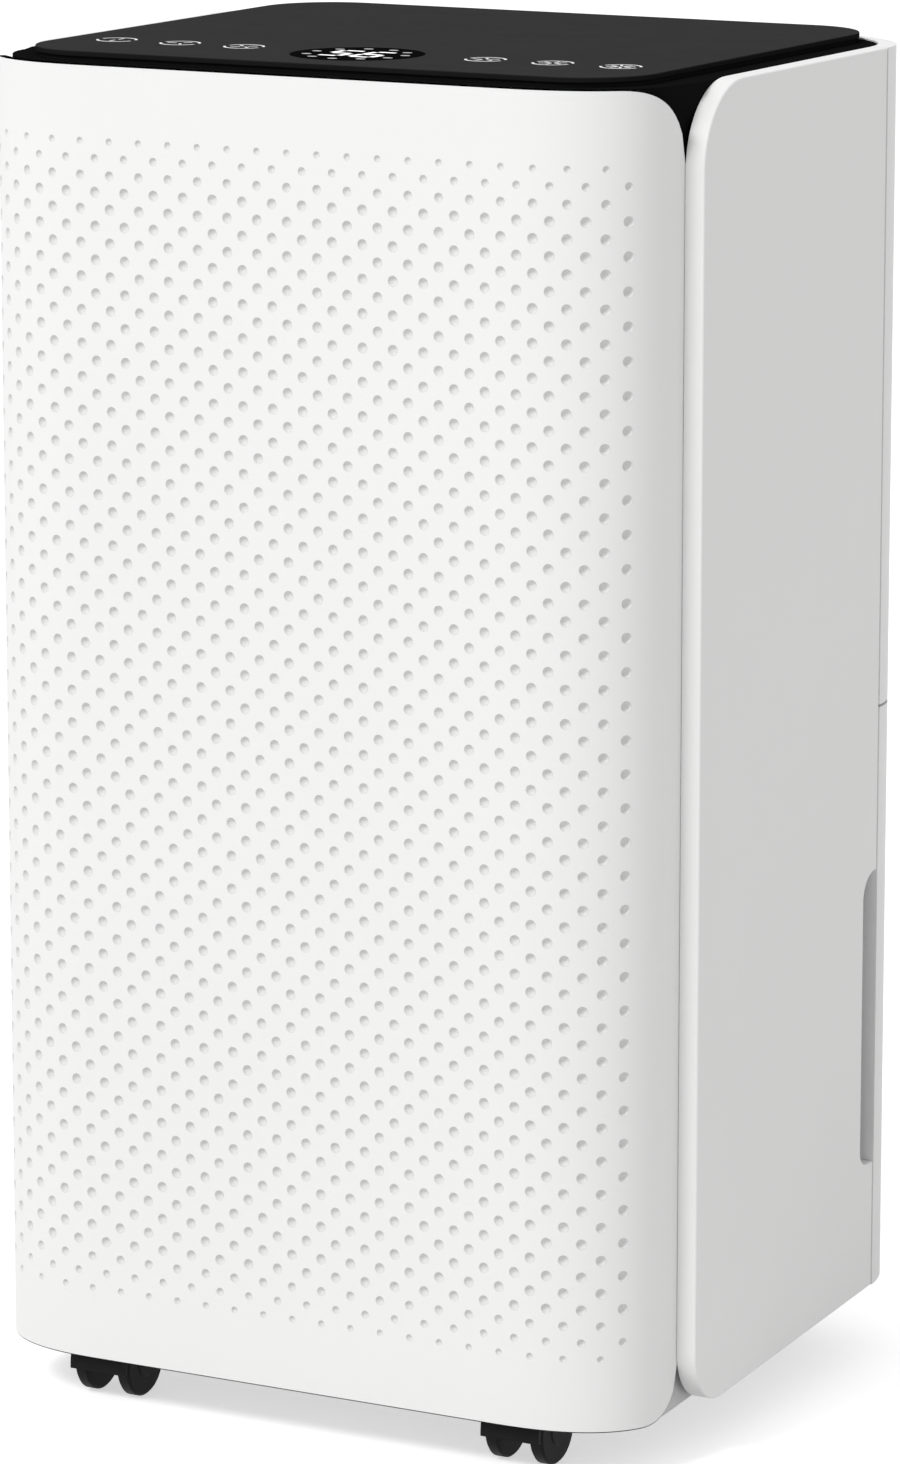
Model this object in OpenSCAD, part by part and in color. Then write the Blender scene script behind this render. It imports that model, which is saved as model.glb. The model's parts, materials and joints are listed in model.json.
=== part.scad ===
// Portable dehumidifier with a dotted front cover, a touch panel on top, a
// water tank that pulls out of the rear and four twin-wheel casters.
// Millimetres. X is the width, the front faces -Y, Z is up from the floor.

/* [Cabinet] */
// Width over both side panels
body_w = 284; // [280:1:292]
// Depth from the front cover to the rear cover
body_d = 230; // [230:1:236]
// Height of the upper rim of the cabinet above the floor
rim_z = 492; // [488:1:500]
// Height of the front cover's lower edge above the floor
ground_gap = 18; // [17:0.5:19]
// Thickness of a side panel
panel_t = 7.3; // [7:0.1:8]
// Wall of the moulded covers
wall = 2.5; // [2.2:0.1:2.8]
// Radius of the upper front corners, seen from the side
top_corner_r = 30; // [24:1:34]
// Radius of the lower front corners, seen from the side
low_corner_r = 20.5; // [16:0.5:24]

/* [Dotted front] */
// Distance between neighbouring dots in a row
dot_pitch = 12; // [12:1:16]
// Width of a full dot
dot_d = 3.75; // [2.8:0.05:4.2]
// Depth of a dot
dot_depth = 1; // [0.6:0.1:1.1]

/* [Touch panel] */
// Half width of the glass
glass_half_w = 122.8; // [118:0.1:124]
// Corner radius of the glass
glass_r = 28; // [15:1:32]
// Thickness of the glass
glass_t = 2; // [1.8:0.1:2.6]

/* [Fan] */
// Outer radius of the rotor
rotor_r = 66; // [60:1:67]
// Number of blades
blades = 32; // [24:1:40]

/* [Water tank] */
// Half width of the tub between the side panels
tub_half_w = 120; // [116:1:120]
// Upper edge of the tank's outer wall
tank_top = 249.6; // [248.8:0.1:249.6]
// Lower and upper end of the finger notch beside the tank
notch_z = [77, 188.5]; // [70:0.5:195]
// Reach of the finger notch into the side panel
notch_depth = 10.9; // [9:0.1:14]

/* [Casters] */
// Radius of a wheel
wheel_r = 12.5; // [12:0.1:12.8]
// Distance between the middle planes of a caster's two wheels
wheel_gap = 18; // [17.5:0.1:19]
// Width of a wheel
tread = 5.3; // [5:0.1:6]
// Distance from the swivel axis to the axle
trail = 5; // [4:0.1:5.2]

/* [Hidden] */
$fn = 48;
eps = 0.01;

white = [0.95, 0.95, 0.945];
light_grey = [0.78, 0.78, 0.78];
black = [0.09, 0.09, 0.095];
glass_black = [0.17, 0.17, 0.175];
copper = [0.78, 0.45, 0.3];
aluminium = [0.76, 0.77, 0.78];
steel = [0.62, 0.63, 0.65];

// Plan of the cabinet
half_w = body_w / 2;
front_y = -body_d / 2;
rear_y = body_d / 2;
gap = 0.3;                      // seam between fixed covers
panel_in = half_w - panel_t;    // inner face of a side panel
cover_half = panel_in - gap;    // half width of the front cover
front_corner = [53.4, 41];      // reach of the front cover's corner in X and Y
front_flat = cover_half - front_corner.x;
cover_back = front_y + front_corner.y;
rear_corner = [53.6, 41.6];     // reach of the rear corner in X and Y
rear_flat = half_w - rear_corner.x;
shell_front = rear_y - rear_corner.y;
panel_front = cover_back - 1.4;
panel_rear = shell_front - 0.4;
panel_edge = 1.5;               // chamfer round a side panel's outer face

// Heights
belly_slope = 3.75;             // the underside rises towards the rear
belly_front = 19.5;
plate = [41, 45];               // floor plate of the chassis
chassis_wall_top = 60;
deck = [252, 255];              // shelf over the tank bay
bay_front = 10;                 // rear face of the bulkhead before the tank
tray_z = [rim_z - 3.5, rim_z - 0.5];
slab_z = [tray_z[1], tray_z[1] + 1.5, tray_z[1] + 1.5 + glass_t];
shell_low = deck[0] - 1.4;      // lower edge of the rear cover
side_in = cover_half - wall;    // inner face of the front cover's side

// Air path
fan_z = 344;
volute_y = [-6, 44];
volute_r = [rotor_r + 6, rotor_r + 27.8];
cutoff_angle = 75;
duct_z = [rim_z - 62, rim_z - 8];
window_x = 84;
intake_z = [280, 432];
outlet_z = [440, 478];
coil_z = [270, 426];
evaporator_y = [74, 94];
condenser_y = [48, 70];
coil_half = 84;
tube_r = 3.5;
first_tube = 278;

// Services on the rear face
service_z = 264;
spigot = [-70, 6.5, 4.5];       // X, outer radius, bore radius
spigot_y = [96, 113.5];
gland = [70, 7, 3.7];           // X, outer radius, bore radius

// Refrigerant circuit
comp_pos = [-62, -48];
comp_r = 48;
comp_top = 212;
ears = [30, 150, 270];         // directions of the three feet
ear_at = 52;
accu_pos = [8, -30];
drier_pos = [102, -60];

// Casters
stem_x = 85.6;
stem_y = [-89.5, 86];
stem_r = 4;
fork_top = 29.5;
running = 0.05;                 // radial clearance of a shaft in its bore
sweep_r = 23;                   // well for the swivelling wheels

// Dots: columns count from the middle, rows downwards from the middle row
dot_rows = [-32, 38];
last_column = 21;
dot_middle_z = rim_z - 219;

function belly(y) = belly_front + tan(belly_slope) * (y - cover_back);

// Quarter of a superellipse from a flat face round to the side
function corner_arc(reach, power, steps) = [
  for (i = [0:steps]) let (a = 90 * i / steps)
    [reach.x * pow(sin(a), 2 / power), reach.y * (1 - pow(cos(a), 2 / power))]
];
function arc(centre, r, from, to, steps = 8) = [
  for (i = [0:steps]) let (a = from + (to - from) * i / steps)
    centre + r * [cos(a), sin(a)]
];
function backwards(list) = [for (i = [len(list) - 1:-1:0]) list[i]];
function mirrored(list) = [for (p = backwards(list)) [-p.x, p.y]];

// Height of the front cover's curved corner over the flat face, at a distance x
function cover_share(x) = min(1, max(0, (abs(x) - front_flat) / front_corner.x));
function cover_y(x) =
  front_y + front_corner.y * (1 - pow(1 - pow(cover_share(x), 2.5), 0.4));

// Corner of the front cover: every column of dots gets a narrow flat of its own
dot_land = dot_d / 2 + 0.3;
first_column = ceil((front_flat + dot_land) / (dot_pitch / 2));
cover_edge = (last_column + 0.5) * dot_pitch / 2;
function cover_corner() =
  let (a0 = asin(pow(cover_share(cover_edge), 1.25)))
  concat([[front_flat, front_y]],
         [for (k = [first_column:last_column], s = [-1, 1])
            let (x = k * dot_pitch / 2 + s * dot_land) [x, cover_y(x)]],
         [for (i = [0:7]) let (a = a0 + (90 - a0) * i / 7)
            [front_flat + front_corner.x * pow(sin(a), 0.8),
             cover_back - front_corner.y * pow(cos(a), 0.8)]]);

// Plan of the front cover, moved in by inset, with straight sides back to y_end
function front_plan(inset, y_end) =
  let (a = corner_arc(front_corner - [inset, inset], 2.5, 20),
       right = concat([for (p = a) [front_flat + p.x, front_y + inset + p.y]],
                      [[cover_half - inset, y_end]]))
  concat(right, mirrored(right));

// Plan of the rear shell behind y_start, moved in by inset
function rear_plan(inset, y_start) =
  let (reach = rear_corner - inset, a = corner_arc(reach, 2, 16),
       rise = max(0, y_start - shell_front) / reach.y,
       right = concat([[rear_flat + reach.x * sqrt(1 - rise * rise), y_start]],
                      [for (p = backwards(a)) let (y = rear_y - inset.y - p.y)
                         if (y > y_start + 0.3) [rear_flat + p.x, y]]))
  concat(right, mirrored(right));

function rounded(low, high, r, steps = 6) = concat(
  arc([high.x - r, high.y - r], r, 0, 90, steps),
  arc([low.x + r, high.y - r], r, 90, 180, steps),
  arc([low.x + r, low.y + r], r, 180, 270, steps),
  arc([high.x - r, low.y + r], r, 270, 360, steps));

module block(low, high) {
  translate(low) cube(high - low);
}
module prism(points, z) {
  translate([0, 0, z[0]]) linear_extrude(z[1] - z[0]) polygon(points);
}
// Profile in Y and Z, run along X
module along_x(x, points) {
  translate([x[0], 0, 0]) rotate([90, 0, 90]) linear_extrude(x[1] - x[0]) polygon(points);
}
// Profile in X and Z, run along Y
module along_y(y, points) {
  translate([0, y[1], 0]) rotate([90, 0, 0]) linear_extrude(y[1] - y[0]) polygon(points);
}
module rod_x(x, y, z, r) {
  translate([x[0], y, z]) rotate([0, 90, 0]) cylinder(h = x[1] - x[0], r = r);
}
module rod_y(x, y, z, r) {
  translate([x, y[0], z]) rotate([-90, 0, 0]) cylinder(h = y[1] - y[0], r = r);
}
module rod_z(x, y, z, r) {
  translate([x, y, z[0]]) cylinder(h = z[1] - z[0], r = r);
}
module both_sides() {
  children();
  mirror([1, 0, 0]) children();
}
module below_belly() {
  translate([0, cover_back, belly_front]) rotate([belly_slope, 0, 0])
    block([-half_w - 20, -body_d, -60], [half_w + 20, body_d, 0]);
}

// --- Covers ---------------------------------------------------------------

// Dots grow over the first rows from the upper and the lower edge
function dot_share(v) =
  min(1, 0.66 + 0.11 * min(v - dot_rows[0], dot_rows[1] - v));

// Round dimple, square to the chord of the cover's face on which it sits
module dot(x, z, width) {
  low = [x - dot_land, cover_y(x - dot_land)];
  high = [x + dot_land, cover_y(x + dot_land)];
  middle = (low + high) / 2;
  translate([middle.x, middle.y, z]) rotate([0, 0, atan2(high.y - low.y, high.x - low.x)])
    rotate([-90, 0, 0]) cylinder(h = dot_depth, r1 = width / 2, r2 = width / 2 - 0.8 * dot_depth);
}
module front_cover() {
  h = [ground_gap, rim_z];
  color(white) difference() {
    union() {
      intersection() {
        difference() {
          prism(concat(cover_corner(), mirrored(cover_corner())), h);
          prism(front_plan(wall, cover_back + 1), [h[0] - 1, h[1] + 1]);
        }
        along_x([-half_w, half_w], concat(
          [[front_y - 1, h[1]], [front_y - 1, h[0]]],
          arc([cover_back - low_corner_r, h[0] + low_corner_r], low_corner_r, 270, 360),
          arc([cover_back - top_corner_r, h[1] - top_corner_r], top_corner_r, 0, 90, 10)));
      }
      both_sides()
        block([cover_half - wall, cover_back, 50], [cover_half, cover_back + 10, 450]);
    }
    for (u = [-last_column:last_column], v = [dot_rows[0]:dot_rows[1]])
      if ((u + v) % 2 == 0)
        dot(u * dot_pitch / 2, dot_middle_z - v * dot_pitch / 2, dot_d * dot_share(v));
  }
}

panel_outline = concat(
  [[panel_rear, rim_z], [panel_rear, belly(panel_rear)]],
  arc([panel_front + low_corner_r, belly(panel_front) + low_corner_r + 1.3],
      low_corner_r, 270, 180),
  arc([panel_front + top_corner_r, rim_z - top_corner_r], top_corner_r, 180, 90, 10));
notch_outline = concat(
  arc([panel_rear - notch_depth + 10, notch_z[1] - 10], 10, 90, 180),
  arc([panel_rear - notch_depth + 6, notch_z[0] + 6], 6, 180, 270),
  [[panel_rear + 1, notch_z[0]], [panel_rear + 1, notch_z[1]]]);

module side_panel() {
  difference() {
    hull() {
      along_x([panel_in, half_w - panel_edge], panel_outline);
      translate([half_w - eps, 0, 0]) rotate([90, 0, 90])
        linear_extrude(eps) offset(delta = -panel_edge) polygon(panel_outline);
    }
    along_x([panel_in - 1, half_w + 1], notch_outline);
  }
}
module side_panel_left() {
  color(white) mirror([1, 0, 0]) side_panel();
}
module side_panel_right() {
  color(white) side_panel();
}

rim_inset = [panel_t, 3.3];
screws = [[-76, rim_z - 7], [76, rim_z - 7], [-84.5, deck[1] + 5], [84.5, deck[1] + 5]];
screw_r = 1.6;
screw_head = [3, 0.9];          // radius and height
module at_screws(low = 0, high = len(screws) - 1) {
  for (i = [low:high]) translate([screws[i].x, 0, screws[i].y]) children();
}
module rear_cover() {
  h = [shell_low, rim_z];
  color(white) difference() {
    union() {
      difference() {
        prism(rear_plan([0, 0], shell_front), h);
        prism(rear_plan([wall, wall], shell_front - 5), h + [-1, 1]);
      }
      // Turned-in rim and lower flange
      difference() {
        union() {
          prism(rear_plan([1, 1], shell_front), [h[1] - 3, h[1]]);
          prism(rear_plan([1, 1], shell_front), [h[0], h[0] + 2.4]);
        }
        prism(rear_plan(rim_inset, shell_front - 5), h + [-1, 1]);
      }
      both_sides()
        block([panel_in + 0.4, shell_front, h[0]], [half_w - 1, shell_front + 3, h[1]]);
    }
    for (z = [intake_z, outlet_z])
      block([-window_x, rear_y - 8, z[0]], [window_x, rear_y + 1, z[1]]);
    rod_y(spigot.x, [rear_y - 8, rear_y + 1], service_z, spigot[1] + 3);
    rod_y(gland.x, [rear_y - 8, rear_y + 1], service_z, gland[1]);
    at_screws() {
      rod_y(0, [rear_y - 4, rear_y + 1], 0, screw_r + 0.1);
      rod_y(0, [rear_y - 1.2, rear_y + 1], 0, screw_head[0] + 0.2);
    }
  }
}
// Slanted blades that turn the dry air upwards, in a frame whose lip seats inside the rear cover
module outlet_louvre() {
  x = window_x - gap;
  z = outlet_z + [gap, -gap];
  y = [rear_y - 9, rear_y - 0.5];
  frame = 2;
  lip = 3;
  pitch = (z[1] - z[0]) / 6;
  color(white) {
    difference() {
      union() {
        block([-x, y[0], z[0]], [x, y[1], z[1]]);
        block([-x - lip, rear_y - wall - frame, z[0] - lip], [x + lip, rear_y - wall, z[1] + lip]);
      }
      block([-x + frame, y[0] - 1, z[0] + frame], [x - frame, y[1] + 1, z[1] - frame]);
    }
    intersection() {
      block([-x + 1, y[0] + 0.2, z[0] + 1], [x - 1, y[1] - 0.2, z[1] - 1]);
      union() {
        for (i = [1:5]) translate([0, rear_y - 4, z[0] + i * pitch]) rotate([-35, 0, 0])
          cube([2 * window_x, 10, 1.8], center = true);
        for (bar = [-56:28:56])
          block([bar - 1.2, rear_y - 7.5, z[0]], [bar + 1.2, rear_y - 1.5, z[1]]);
      }
    }
  }
}

// --- Top ------------------------------------------------------------------

function tray_plan(inset) =
  let (front = corner_arc(front_corner - [wall + inset, wall + inset], 2, 20),
       rear = corner_arc(rear_corner - rim_inset - [gap + inset, gap + inset], 2, 16),
       side = cover_half - inset,
       right = concat(
         [for (p = front) [front_flat + p.x, front_y + wall + inset + p.y]],
         [[side, cover_back + 8]],
         [for (p = backwards(rear)) [rear_flat + p.x, rear_y - rim_inset.y - gap - inset - p.y]]))
  concat(right, mirrored(right));
module top_tray() {
  skirt_front_z = rim_z - 37;
  skirt_rear_z = rim_z - 11;
  skirt_end = cover_back + 44;
  back = rear_y - rim_inset.y - gap;
  color(black) difference() {
    prism(tray_plan(0), [skirt_front_z, tray_z[1]]);
    prism(tray_plan(2.2), [skirt_front_z - 1, tray_z[0]]);
    block([-half_w, skirt_end, skirt_front_z - 1], [half_w, rear_y, skirt_rear_z]);
    at_screws(0, 1) rod_y(0, [back - 5, back + 1], 0, screw_r + 0.05);
  }
}
glass_y = [front_y + 13.3, rear_y - 3.2];
module touch_base() {
  color(black) prism(rounded([-glass_half_w + 1.2, glass_y[0] + 1.2],
    [glass_half_w - 1.2, glass_y[1] - 1.2], glass_r - 1.2, 10), [slab_z[0], slab_z[1]]);
}
module touch_glass() {
  color(glass_black) prism(rounded([-glass_half_w, glass_y[0]],
    [glass_half_w, glass_y[1]], glass_r, 10), [slab_z[1], slab_z[2]]);
}
module display_board() {
  z = tray_z[0] - 1.6;
  color([0.1, 0.35, 0.2]) {
    block([-108, front_y + 24, z], [108, front_y + 84, tray_z[0]]);
    block([-24, front_y + 38, z - 6], [24, front_y + 66, z + eps]);
    for (x = [-100, -72, -47, 51, 76, 102])
      rod_z(x, front_y + 52, [z - 3, z + eps], 6);
  }
}

// --- Chassis and inner frame ----------------------------------------------

module at_stems() {
  for (x = [-stem_x, stem_x], y = stem_y) translate([x, y, 0]) children();
}
module base_chassis() {
  low = ground_gap + 0.5;
  rib = 6;
  color(light_grey) difference() {
    union() {
      // Pan with its wall: the shell's inner form at the front, square at the back
      difference() {
        prism(front_plan(wall, panel_rear - 0.2), [low, chassis_wall_top]);
        prism(front_plan(2 * wall, panel_rear + 1), [low - 1, plate[0]]);
        prism(front_plan(2 * wall, bay_front - 3), [plate[1], chassis_wall_top + 1]);
        block([-half_w, bay_front - 3, plate[1]], [half_w, rear_y, chassis_wall_top + 1]);
      }
      prism(rounded([-118, 40], [118, rear_y - 11], 14), plate);
      both_sides() for (y = [-50, 28, 60])
        block([side_in - 1, y - 6, plate[0] - 8], [panel_in, y + 6, plate[1]]);
      // Sockets of the casters and ribs under the plate
      at_stems() rod_z(0, 0, [fork_top + 1, plate[1]], 8);
      for (y = [-30, 20]) block([-side_in, y - 1, plate[0] - rib], [side_in, y + 1, plate[0] + eps]);
      for (x = [-40, 40]) block([x - 1, front_y + 5, plate[0] - rib], [x + 1, 100, plate[0] + eps]);
    }
    below_belly();
    at_stems() rod_z(0, 0, [fork_top, plate[1] - 1.5], stem_r + running);
    for (x = [-stem_x, stem_x]) rod_z(x, stem_y[0], [low - 1, fork_top + 0.5], sweep_r);
  }
}
// Bulkhead before the tank, side walls of the machine bay and the deck that they carry
module inner_frame() {
  color(light_grey) difference() {
    union() {
      block([-side_in, bay_front - 3, plate[1]], [side_in, bay_front, deck[0] + eps]);
      block([-side_in + 2, cover_back + 12, deck[0]], [side_in - 2, 72, deck[1]]);
      block([-118, 71, deck[0]], [118, 100, deck[1]]);
      at_screws(2, 3) block([-4, 97, -6], [4, rear_y - wall - 0.2, 4]);
      both_sides() {
        block([side_in - 5.5, cover_back + 12, plate[1]], [side_in - 3, bay_front, deck[0] + eps]);
        for (y = [-30, 60]) block([side_in - 4, y - 6, deck[0] - 10], [panel_in, y + 6, deck[1]]);
      }
    }
    // Ways through the deck for the pipes and the water
    block([-118, -58, deck[0] - 1], [-98, -38, deck[1] + 1]);
    block([90, -85, deck[0] - 1], [120, -20, deck[1] + 1]);
    rod_z(0, 60, [deck[0] - 1, deck[1] + 1], 8);
    at_screws(2, 3) rod_y(0, [rear_y - 10, rear_y], 0, screw_r + 0.05);
  }
}
module tray_posts() {
  color(light_grey) both_sides() for (y = [0, 46]) {
    block([117, y - 6, deck[1]], [129, y - 4, tray_z[0]]);
    block([117, y - 4, deck[1]], [119, y + 6, tray_z[0]]);
    block([117, y - 9, deck[1]], [129, y + 9, deck[1] + 2]);
  }
}

// --- Electrics ------------------------------------------------------------

module control_box() {
  color(light_grey) difference() {
    block([-40, -108, deck[1]], [80, -72, deck[1] + 90]);
    block([-38, -109, deck[1] + 2], [78, -74, deck[1] + 88]);
  }
}
module control_box_lid() {
  color(light_grey) {
    block([-41, -110, deck[1]], [81, -108, deck[1] + 90]);
    for (i = [0:5]) block([-30 + 18 * i, -111, deck[1] + 20], [-28 + 18 * i, -109.9, deck[1] + 70]);
  }
}
module run_capacitor() {
  color(aluminium) {
    rod_z(-75, -85, [deck[1], deck[1] + 60], 17.5);
    rod_z(-75, -85, [deck[1] + 60 - eps, deck[1] + 63], 15);
    for (x = [-80, -70]) block([x - 0.5, -88, deck[1] + 62], [x + 0.5, -82, deck[1] + 72]);
  }
}
module humidity_sensor() {
  color(white) {
    block([110, 84, deck[1] + 30], [130, 90, deck[1] + 60]);
    block([112.6, 84.2, deck[1]], [118, 89.8, deck[1] + 31]);
    for (i = [0:4]) block([112, 89.9, deck[1] + 34 + 5 * i], [128, 91.5, deck[1] + 36 + 5 * i]);
  }
}
module tank_sensor() {
  color(black) {
    block([-96, bay_front - 15, 218], [-72, bay_front - 3, 238]);
    for (x = [-90, -84, -78]) block([x - 0.5, bay_front - 21, 221], [x + 0.5, bay_front - 14.9, 227]);
  }
}

// --- Fan ------------------------------------------------------------------

// Scroll that widens from the cutoff round to the outlet, moved out by grow
function scroll(grow) = concat(
  [for (i = [0:38]) let (a = cutoff_angle + i * (360 - cutoff_angle) / 38,
      r = volute_r[0] + grow + (volute_r[1] - volute_r[0]) * i / 38)
    [r * cos(a), fan_z + r * sin(a)]],
  [[volute_r[1] + grow, duct_z[0]], [volute_r[0] * cos(cutoff_angle) - grow, duct_z[0]]]);

module fan_volute() {
  color(light_grey) difference() {
    along_y(volute_y, scroll(2));
    along_y(volute_y + [2, -2], concat(
      [for (i = [0:40]) scroll(0)[min(i, 38)]],
      [[volute_r[1], duct_z[0] + 1], [volute_r[0] * cos(cutoff_angle), duct_z[0] + 1]]));
    rod_y(0, [volute_y[1] - 3, volute_y[1] + 1], fan_z, rotor_r - 8);
    rod_y(0, [volute_y[0] - 1, volute_y[0] + 3], fan_z, 20);
  }
}
module outlet_duct() {
  x = [volute_r[0] * cos(cutoff_angle) - 2, volute_r[1] + 2];
  color(light_grey) difference() {
    block([-window_x - 4, volute_y[0], duct_z[0]], [x[1], rear_y - 9.5, duct_z[1]]);
    block([-window_x - 2, volute_y[0] + 2, duct_z[0] + 2], [x[1] - 2, rear_y, duct_z[1] - 2]);
    block([x[0] + 2, volute_y[0] + 2, duct_z[0] - 1], [x[1] - 2, volute_y[1] - 2, duct_z[0] + 3]);
  }
}
motor_y = [volute_y[0] - 40, volute_y[0] - 4];
module motor_bracket() {
  color(steel) difference() {
    union() {
      rod_y(0, [volute_y[0] - 4, volute_y[0] - 2], fan_z, 30);
      for (a = [90, 210, 330]) translate([0, volute_y[0] - 4, fan_z]) rotate([0, a, 0])
        translate([0, 0, -7]) {
          cube([62, 2, 14]);
          translate([52, 0, 0]) cube([10, 4, 14]);
        }
    }
    rod_y(0, [volute_y[0] - 5, volute_y[0] + 1], fan_z, 12);
  }
}
module fan_motor() {
  color(steel) difference() {
    union() {
      rod_y(0, [motor_y[0] + 3, motor_y[1]], fan_z, 40);
      rod_y(0, [motor_y[0], motor_y[0] + 3 + eps], fan_z, 32);
      rod_y(0, [motor_y[1] - eps, motor_y[1] + 6], fan_z, 10);
    }
    for (a = [0:30:330]) rotate_about_fan(a)
      translate([36, motor_y[0] + 8, fan_z - 2]) cube([6, 20, 4]);
    rod_y(0, [motor_y[1] - 22, motor_y[1] + 7], fan_z, stem_r + running);
  }
}
module rotate_about_fan(a) {
  translate([0, 0, fan_z]) rotate([0, a, 0]) translate([0, 0, -fan_z]) children();
}
// One forward-curved blade, drawn about the fan's axis
function blade_line(r) = [
  for (i = [0:4]) let (s = i / 4, a = 14 * s * s)
    (rotor_r - 16 + 13 * s + r) * [cos(a), sin(a)]
];
function blade_outline() = concat(
  blade_line(0),
  [for (p = backwards(blade_line(0))) p + [0.35, -1.1]]);
module fan_rotor() {
  y = [volute_y[0] + 5, volute_y[1] - 4];
  color(light_grey) difference() {
    union() {
      rod_y(0, [y[0], y[0] + 2], fan_z, rotor_r - 1);
      difference() {
        rod_y(0, [y[1] - 2, y[1]], fan_z, rotor_r);
        rod_y(0, [y[1] - 3, y[1] + 1], fan_z, rotor_r - 5);
      }
      for (i = [0:blades - 1])
        translate([0, y[1] - 1, fan_z]) rotate([0, 360 / blades * i, 0]) rotate([90, 0, 0])
          linear_extrude(y[1] - y[0] - 2) polygon(blade_outline());
      rod_y(0, [y[0], y[0] + 24], fan_z, 10);
    }
    rod_y(0, [y[0] - 1, y[1] + 1], fan_z, stem_r);
  }
}
module fan_shaft() {
  color(steel) rod_y(0, [motor_y[1] - 20, volute_y[0] + 30], fan_z, stem_r);
}

// --- Refrigerant circuit --------------------------------------------------

module u_bend(x, y, z, span, side) {
  translate([x, y, z + span / 2]) rotate([90, 0, 0]) rotate([0, 0, side > 0 ? -90 : 90])
    rotate_extrude(angle = 180) translate([span / 2, 0]) circle(tube_r);
}
// Finned block with a row of tubes. The first tube opens to the right.
module finned_coil(y, tubes, pitch) {
  middle = (y[0] + y[1]) / 2;
  fin_pitch = 4;
  for (side = [-1, 1]) color(aluminium)
    block([side * coil_half - 1, y[0], coil_z[0]], [side * coil_half + 1, y[1], coil_z[1]]);
  color(aluminium) difference() {
    block([-coil_half, y[0] + 1, coil_z[0] + 2], [coil_half, y[1] - 1, coil_z[1] - 2]);
    for (x = [-coil_half + 2:fin_pitch:coil_half - 4], f = [0, 1])
      block([x, f == 0 ? y[0] : middle + 2, coil_z[0]],
            [x + fin_pitch - 0.8, f == 0 ? middle - 2 : y[1], coil_z[1]]);
  }
  color(copper) for (i = [0:tubes - 1]) {
    z = first_tube + i * pitch;
    rod_x([-coil_half - 7, -coil_half], middle, z, tube_r);
    rod_x([coil_half, coil_half + 7], middle, z, tube_r);
    if (i < tubes - 1)
      u_bend((i % 2 == 0 ? -1 : 1) * (coil_half + 7), middle, z, pitch, i % 2 == 0 ? -1 : 1);
  }
}
module evaporator() {
  finned_coil(evaporator_y, 10, 15.6);
}
module condenser() {
  finned_coil(condenser_y, 9, 17.5);
}
module drip_tray() {
  x = coil_half + 4;
  y = [46, 96];
  color(light_grey) difference() {
    union() {
      difference() {
        block([-x, y[0], deck[1]], [x, y[1], coil_z[0] - 1]);
        block([-x + 2, y[0] + 2, deck[1] + 2], [x - 2, y[1] - 2, coil_z[0]]);
      }
      for (rib = [-50, 10.5, 70])
        block([rib, y[0] + 1, deck[1] + 2 - eps], [rib + 2, y[1] - 1, coil_z[0]]);
      rod_z(0, 60, [deck[0] - 2.2, deck[1] + eps], 7.5);
      rod_y(spigot.x, [y[1] - eps, spigot_y[1]], service_z, spigot[1]);
    }
    rod_z(0, 60, [deck[0] - 3, deck[1] + 3], 5);
    rod_y(spigot.x, [y[1] - 3, rear_y], service_z, spigot[2]);
  }
}

// Pipe of straight legs along the axes, joined by quarter bends
module pipe(points, r, bend) {
  last = len(points) - 1;
  for (i = [0:last - 1]) {
    d = (points[i + 1] - points[i]) / norm(points[i + 1] - points[i]);
    a = points[i] + (i > 0 ? bend : 0) * d;
    b = points[i + 1] - (i < last - 1 ? bend : 0) * d;
    translate(a) rotate([d.z == 0 ? 90 : d.z > 0 ? 0 : 180, 0, atan2(d.x, -d.y) * (d.z == 0 ? 1 : 0)])
      cylinder(h = norm(b - a), r = r);
    if (i > 0) {
      c = (points[i] - points[i - 1]) / norm(points[i] - points[i - 1]);
      n = cross(c, d);
      o = points[i] - bend * c + bend * d;
      multmatrix([[-d.x, c.x, n.x, o.x], [-d.y, c.y, n.y, o.y], [-d.z, c.z, n.z, o.z]])
        rotate_extrude(angle = 90) translate([bend, 0]) circle(r);
    }
  }
}
coil_end = coil_half + 7;
last_condenser_tube = first_tube + 8 * 17.5;
last_evaporator_tube = first_tube + 9 * 15.6;
evaporator_mid = (evaporator_y[0] + evaporator_y[1]) / 2;
condenser_mid = (condenser_y[0] + condenser_y[1]) / 2;
module refrigerant_pipes() {
  color(copper) {
    // Hot gas: compressor to condenser
    pipe([[comp_pos.x, comp_pos.y, comp_top], [comp_pos.x, comp_pos.y, 234],
          [-108, comp_pos.y, 234], [-108, comp_pos.y, last_condenser_tube],
          [-108, condenser_mid, last_condenser_tube],
          [-coil_end, condenser_mid, last_condenser_tube]], tube_r, 8);
    // Suction: evaporator to accumulator
    pipe([[coil_end, evaporator_mid, first_tube], [112, evaporator_mid, first_tube],
          [112, accu_pos.y, first_tube], [112, accu_pos.y, 236],
          [accu_pos.x, accu_pos.y, 236], [accu_pos.x, accu_pos.y, 186]], tube_r, 8);
    // Liquid: condenser to filter drier
    pipe([[coil_end, condenser_mid, first_tube], [drier_pos.x, condenser_mid, first_tube],
          [drier_pos.x, drier_pos.y, first_tube], [drier_pos.x, drier_pos.y, 190]], tube_r, 7);
  }
}
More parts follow.
